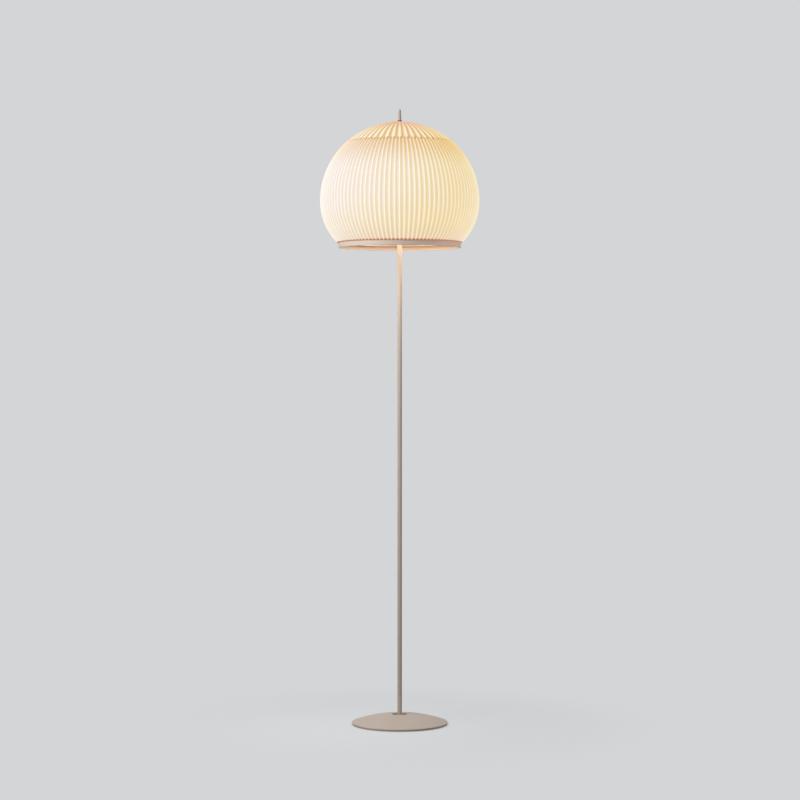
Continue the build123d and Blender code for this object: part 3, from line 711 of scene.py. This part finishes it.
def closed_round(mesh, strips):
    """Repeats a strip about the axis and joins the strips into one shell."""
    strip = list(mesh.verts) + list(mesh.edges) + list(mesh.faces)
    turn = {"cent": (0, 0, 0), "axis": (0, 0, 1), "angle": math.tau * (1 - 1 / strips), "steps": strips - 1}
    bmesh.ops.spin(mesh, geom=strip, use_duplicate=True, **turn)
    bmesh.ops.remove_doubles(mesh, verts=mesh.verts, dist=0.00001)
    bmesh.ops.recalc_face_normals(mesh, faces=mesh.faces)


def lay_map(mesh, length):
    """A UV map that runs once round the shade and once along the cloth, with no jump where it closes."""
    layer = mesh.loops.layers.uv.new("cloth")
    below = mesh.verts.layers.float["below"]
    for face in mesh.faces:
        centre = face.calc_center_median()
        face_turn = math.atan2(centre.y, centre.x)
        for loop in face.loops:
            point = loop.vert.co
            turn = math.atan2(point.y, point.x)
            turn += math.tau * round((face_turn - turn) / math.tau)
            loop[layer].uv = (turn / math.tau + 0.5, abs(loop.vert[below]) / length)


def cloth_area(mesh):
    """How much cloth a shell holds, in square metres."""
    return sum(face.calc_area() for face in mesh.faces)


# %% [markdown]
# A rib is narrow and round on its crest, with a wider valley between. Just under the seam every second rib ends in
# a small round arch, and the others run on into the panels of the cap.
#
# The height of the cloth at a point is its share of a crest: 1 on a crest and 0 in a valley. It comes from the
# distance to the nearest rib that ends in an arch, counted in ribs: 0 on that rib, a half in the valley beside it
# and 1 on the next rib. Near the seam that distance is measured to the rib's end, so the valley closes over it.
# Such a rib and half of each neighbour make one strip, and fifty strips close the round.

# %% The ribs of the shade
rib_count = 100
rib_depth = 0.004
crest_power = 4  # the higher, the narrower the crest
arch_end = 0.65  # of a rib's width, from the seam to the end of the arched ribs
strip_count = rib_count // 2


def body_crest(turn, below, reach):
    """The share of a crest at a turn about the axis and a distance below the seam."""
    width = math.tau * reach / rib_count
    ribs = turn / math.tau * rib_count
    across = abs((ribs + 1) % 2 - 1)
    past_end = max(0.0, arch_end - below / width)
    apart = math.hypot(across, past_end)
    return math.cos(math.pi * min(apart, 1.0)) ** crest_power


print("strips", strip_count, "of two ribs each")

# %% [markdown]
# The hem is folded in over the shelf of the ring, so the path starts there and the profile goes on from it. The
# band of the arches gets finer rows than the rest. In the fold the cloth can only sink level, and not past the
# ring's inner face.

# %% The cloth of the shade
arch_band = 0.0085  # of cloth under the seam
hem_gap = 0.0001  # between the ring and the cloth
hem_round = 0.001
hem_hair = 1e-9  # far too little to see, added to the fold's reach
hem_radius = shoulder_middle + shoulder_radius * math.cos(foot_angle)
hem_inner_radius = ring_radius - ring_wall
hem_height = ring_high.z + hem_gap
arch_angle = arch_band / shade_radius
hem_path = [
    (hem_inner_radius, 0, hem_height),
    (hem_radius - hem_round, 0, hem_height),
    (hem_radius, 0, shade_low.z),
]
shade_swings = [
    (shoulder_middle, foot_angle, 15),
    (0, top_angle - arch_angle, 17),
    (0, arch_angle, 10),
]
shade_mesh = spun_strip(hem_path, shade_swings, math.tau / strip_count, 20)
crest_layer = shade_mesh.verts.layers.float.new("crest")
below_layer = shade_mesh.verts.layers.float.new("below")
for vert in shade_mesh.verts:
    below, outwards = along_shade(vert.co)
    crest = body_crest(math.atan2(vert.co.y, vert.co.x), below, vert.co.xy.length)
    vert[crest_layer] = crest
    vert[below_layer] = below
    if vert.co.z < shade_low.z:
        level = Vector((vert.co.x, vert.co.y, 0)).normalized()
        reach = max(hem_inner_radius, hem_hair + vert.co.xy.length - rib_depth * (1 - crest))
        vert.co = level * reach + Vector((0, 0, vert.co.z))
    else:
        vert.co -= outwards * rib_depth * (1 - crest)
closed_round(shade_mesh, strip_count)
lay_map(shade_mesh, meridian_length)
shade_area = cloth_area(shade_mesh)
print("shade cloth", round(shade_area, 4), "square metres")

# %% [markdown]
# The cap is the same cloth, pressed into fifty flat panels that meet in narrow folds and run up to the spike. A
# panel is a shallow pillow, and its folds are deepest at the seam, where the cloth has most to take up. Its lower
# edge is turned in towards the hoop, which closes the seam from inside, and that edge has no folds.

# %% The panels of the cap
cap_radius = shade_radius - 0.001
cap_centre = Vector((0, 0, equator))
panel_count = 50
fold_depth = 0.0030  # at the seam
fold_depth_inner = 0.0004  # at the spike
fold_share = 0.34  # of a panel's width, from the middle of a fold to the flat
edge_return = 0.0042  # how far the lower edge is turned in
hole_radius = 0.0066
hole_angle = math.asin(hole_radius / cap_radius)
edge_angle = math.pi / 2 - math.asin(seam_radius / shade_radius) + 0.0005
cap_swing = math.pi / 2 - hole_angle - edge_angle
cap_length = cap_radius * cap_swing


def along_cap(point):
    """How far a point of the cap's smooth shell lies from its lower edge, and its direction outwards."""
    outwards = (point - cap_centre).normalized()
    return (math.asin(outwards.z) - edge_angle) * cap_radius, outwards


def cap_crest(turn):
    """The share of a crest at a turn about the axis: 0 in a fold, and 1 on the flat of a panel."""
    panels = turn / math.tau * panel_count
    from_fold = abs((panels + 0.5) % 1 - 0.5)
    share = min(1.0, from_fold / fold_share)
    return share * share * (3 - 2 * share)


print("cap", round(cap_length, 4), "m from its edge to the hole")

# %% [markdown]
# The cap's strip is spun, sunk and repeated as the body's was, one panel at a time.

# %% The cloth of the cap
edge_way = Vector((math.cos(edge_angle), 0, math.sin(edge_angle)))
edge_path = [cap_centre + edge_way * (cap_radius - edge_return), cap_centre + edge_way * cap_radius]
cap_mesh = spun_strip(edge_path, [(0, cap_swing, 20)], math.tau / panel_count, 16)
crest_layer = cap_mesh.verts.layers.float.new("crest")
below_layer = cap_mesh.verts.layers.float.new("below")
for vert in cap_mesh.verts:
    above, outwards = along_cap(vert.co)
    crest = cap_crest(math.atan2(vert.co.y, vert.co.x))
    depth = fold_depth_inner + (fold_depth - fold_depth_inner) * (1 - above / cap_length)
    vert[crest_layer] = crest
    vert[below_layer] = -above
    turned_in = (vert.co - cap_centre).length < cap_radius - edge_return / 2
    if not turned_in:
        vert.co -= outwards * depth * (1 - crest)
closed_round(cap_mesh, panel_count)
lay_map(cap_mesh, cap_length)
print("cap cloth", round(cloth_area(cap_mesh), 4), "square metres")

# %% [markdown]
# The stitches of the knit are small chevrons. Across one column of them the yarn rises from the middle to both
# sides, and that rise shifts the rows, which bends each row into a V. They show in the bump and a little in the
# glow.

# %% The stitches
stitch_columns = 600.0  # round the shade
chevron_rise = 0.7  # of a row
yarn_roundness = 0.6  # below 1, so that the yarn is full to its sides


def stitches(shader, rows):
    """The height of the yarn, from 0 to 1, with a count of rows along the cloth."""
    cloth = shader.node("ShaderNodeUVMap", {"uv_map": "cloth"})
    across = shader.node("ShaderNodeSeparateXYZ", {}, {"Vector": cloth}, output="X") * stitch_columns
    along = shader.node("ShaderNodeSeparateXYZ", {}, {"Vector": cloth}, output="Y") * rows
    leg = (across.math("FRACT") - 0.5).math("ABSOLUTE") * 2
    row = (along + leg * chevron_rise).math("FRACT")
    return (row * math.pi).math("SINE") * (leg * math.pi).math("SINE").math("POWER", yarn_roundness)


print("a stitch is", round(math.tau * shade_radius / stitch_columns * 1000, 1), "mm wide")

# %% [markdown]
# Lit from inside, the knit glows. The light comes through most freely on the crests, where one layer of cloth
# stands clear, and it comes through warmer and weaker in the valleys, at the arches and at the hem, where cloth
# lies on cloth. The dark band along the hem and the darker arches under the seam are also painted shade: the
# shadow line where the cloth meets the ring, and the shade under the arches. The glow also turns from cream in
# the panel to honey at the seam and amber at the crown, away from the lamps. So each zone has a pair of colours,
# for a valley and for a crest, and the height along the cloth blends the zones. The glow is the cloth's own light
# here. Light let through from inside could give it too, but it comes out grainy unless the render is long.

# %% The glowing knit
zone_edge = 0.0005  # metres, over which a zone begins at the seam and ends at the hem
seam_reach = 0.110  # below the seam, over which honey fades to cream
foot_reach = 0.060  # above the hem
arch_reach = 0.012  # below the seam
arch_start = -0.003  # above it
crown_reach = (0.10, 0.90)  # of the cap's length
crest_narrowing = 3.0  # the higher, the narrower the bright band
crest_light = 0.96
patchiness = 0.16
arch_share, hem_share, yarn_share = 0.6, 0.95, 0.10  # how far each of the three colours shows
# the glow under the arch ends: partly cloth on cloth, partly painted shade under the arches
arch_glow = (0.46, 0.22, 0.07)
yarn_glow = (0.40, 0.28, 0.14)
# a darker tint where cloth lies on cloth, and painted shade at the arches and along the hem
doubled_and_shaded_tint = (0.12, 0.11, 0.11)  # where cloth lies on cloth


def knitted(name, rows, glows, tints, hem_glow, hem_reach):
    """Knit cloth lit from behind. Its glow and its own tint are pairs of colours, for a valley and a crest."""
    shader = Shader(bpy.data.materials.new(name))
    crest = shader.node("ShaderNodeAttribute", {"attribute_name": "crest"}, output="Fac")
    below = shader.node("ShaderNodeAttribute", {"attribute_name": "below"}, output="Fac")
    stitch = stitches(shader, rows)
    place = shader.node("ShaderNodeTexCoord", output="Object")
    cloud = shader.node("ShaderNodeTexNoise", {}, {"Vector": place, "Scale": 22.0, "Detail": 3.0})

    # masks of the hem and the arches, where cloth lies on cloth and where shade is painted into the glow
    hem = shader.ramp(below, meridian_length - hem_reach, meridian_length - zone_edge)
    arches = shader.ramp(below, arch_reach, 0.0) * shader.ramp(below, arch_start, zone_edge) * (1 - crest)
    crown_start, crown_end = (-cap_length * share for share in crown_reach)
    zones = {
        "seam": shader.ramp(below, seam_reach, 0.0) * shader.ramp(below, -zone_edge, zone_edge),
        "crown": shader.ramp(below, crown_start, crown_end),
        "foot": shader.ramp(below, meridian_length - foot_reach, meridian_length),
    }

    lit_share = crest.math("POWER", crest_narrowing) * crest_light + (cloud - 0.5) * patchiness
    glow = shader.mix(lit_share, *glows["panel"])
    for zone, share in zones.items():
        glow = shader.mix(share, glow, shader.mix(lit_share, *glows[zone]))
    glow = shader.mix(arches * arch_share, glow, arch_glow)
    glow = shader.mix(hem * hem_share, glow, hem_glow)
    glow = shader.mix(stitch * yarn_share, glow, yarn_glow)
    # the tint is darker at the arches and the hem: partly cloth on cloth, partly painted shade
    tint = shader.mix(arches.math("MAXIMUM", hem), shader.mix(crest, *tints), doubled_and_shaded_tint)
    bump = shader.node("ShaderNodeBump", {}, {"Distance": 0.0003, "Height": stitch})
    inputs = {"Base Color": tint, "Roughness": 0.9, "Emission Color": glow, "Emission Strength": 1.0}
    return shader.surface({**inputs, "Normal": bump})


print("honey fades to cream over", seam_reach, "m")

# %% [markdown]
# Each pair below is for a valley and then a crest. The cap has one pair, and a second for its crown. The room's
# light falls on the cloth as well, and the cloth's own bluish tint keeps the side that faces it pale and not
# yellow. Inside, little of that light arrives, so the tint there is a plain dark one.

# %% The colours of the knit
body_glows = {
    "panel": ((0.81, 0.605, 0.24), (1.0, 0.86, 0.455)),
    "seam": ((0.71, 0.42, 0.05), (1.0, 0.72, 0.16)),
    "crown": ((0.65, 0.36, 0.02), (0.99, 0.68, 0.13)),
    "foot": ((0.77, 0.56, 0.29), (1.0, 0.85, 0.49)),
}
cap_panel = ((0.65, 0.38, 0.10), (0.95, 0.77, 0.32))
cap_crown = ((0.62, 0.25, 0.04), (0.86, 0.42, 0.11))
cap_glows = {**dict.fromkeys(("panel", "seam", "foot"), cap_panel), "crown": cap_crown}
body_tints = ((0.09, 0.16, 0.38), (0.09, 0.19, 0.44))
cap_tints = ((0.09, 0.15, 0.27), (0.09, 0.16, 0.30))
inside_tints = ((0.12, 0.10, 0.08), (0.14, 0.12, 0.10))
# the dark hem glow is partly the folded hem and partly painted shade: outside, the shadow line at the ring
hem_outside = {"hem_glow": (0.42, 0.15, 0.08), "hem_reach": 0.0035}
hem_inside = {"hem_glow": (0.45, 0.21, 0.10), "hem_reach": 0.014}
finishes["knit"] = knitted("knit", 150.0, body_glows, body_tints, **hem_outside)
finishes["cap_knit"] = knitted("cap_knit", 50.0, cap_glows, cap_tints, **hem_outside)
knit_inside = knitted("knit_inside", 150.0, body_glows, inside_tints, **hem_inside)
print("knit zones", sorted(body_glows))

# %% [markdown]
# Each shell gets the cloth's thickness with a Solidify modifier, inwards, and the inner face takes a second
# finish. The body's cut is as long as its profile and as wide as its own area makes it, ribs included. The cap
# was cut as wide as the seam is round and is gathered towards the spike.

fabric = 0.0011


def stretched(mesh, name, node, look):
    """Finishes a cloth, with the cloth's thickness inwards and a second finish on its inner face."""
    area = cloth_area(mesh)
    cloth = finish(mesh, name, [node], sharp=180.0, look=look)
    cloth.data.materials.append(knit_inside)
    wall = cloth.modifiers.new("cloth", "SOLIDIFY")
    wall.thickness = fabric
    wall.offset = -1.0
    wall.material_offset = 1
    wall.material_offset_rim = 0


shade_width = shade_area / meridian_length
stretched(shade_mesh, "shade_knit", "knit_body", "knit")
stretched(cap_mesh, "cap_knit", "knit_cap", "cap_knit")
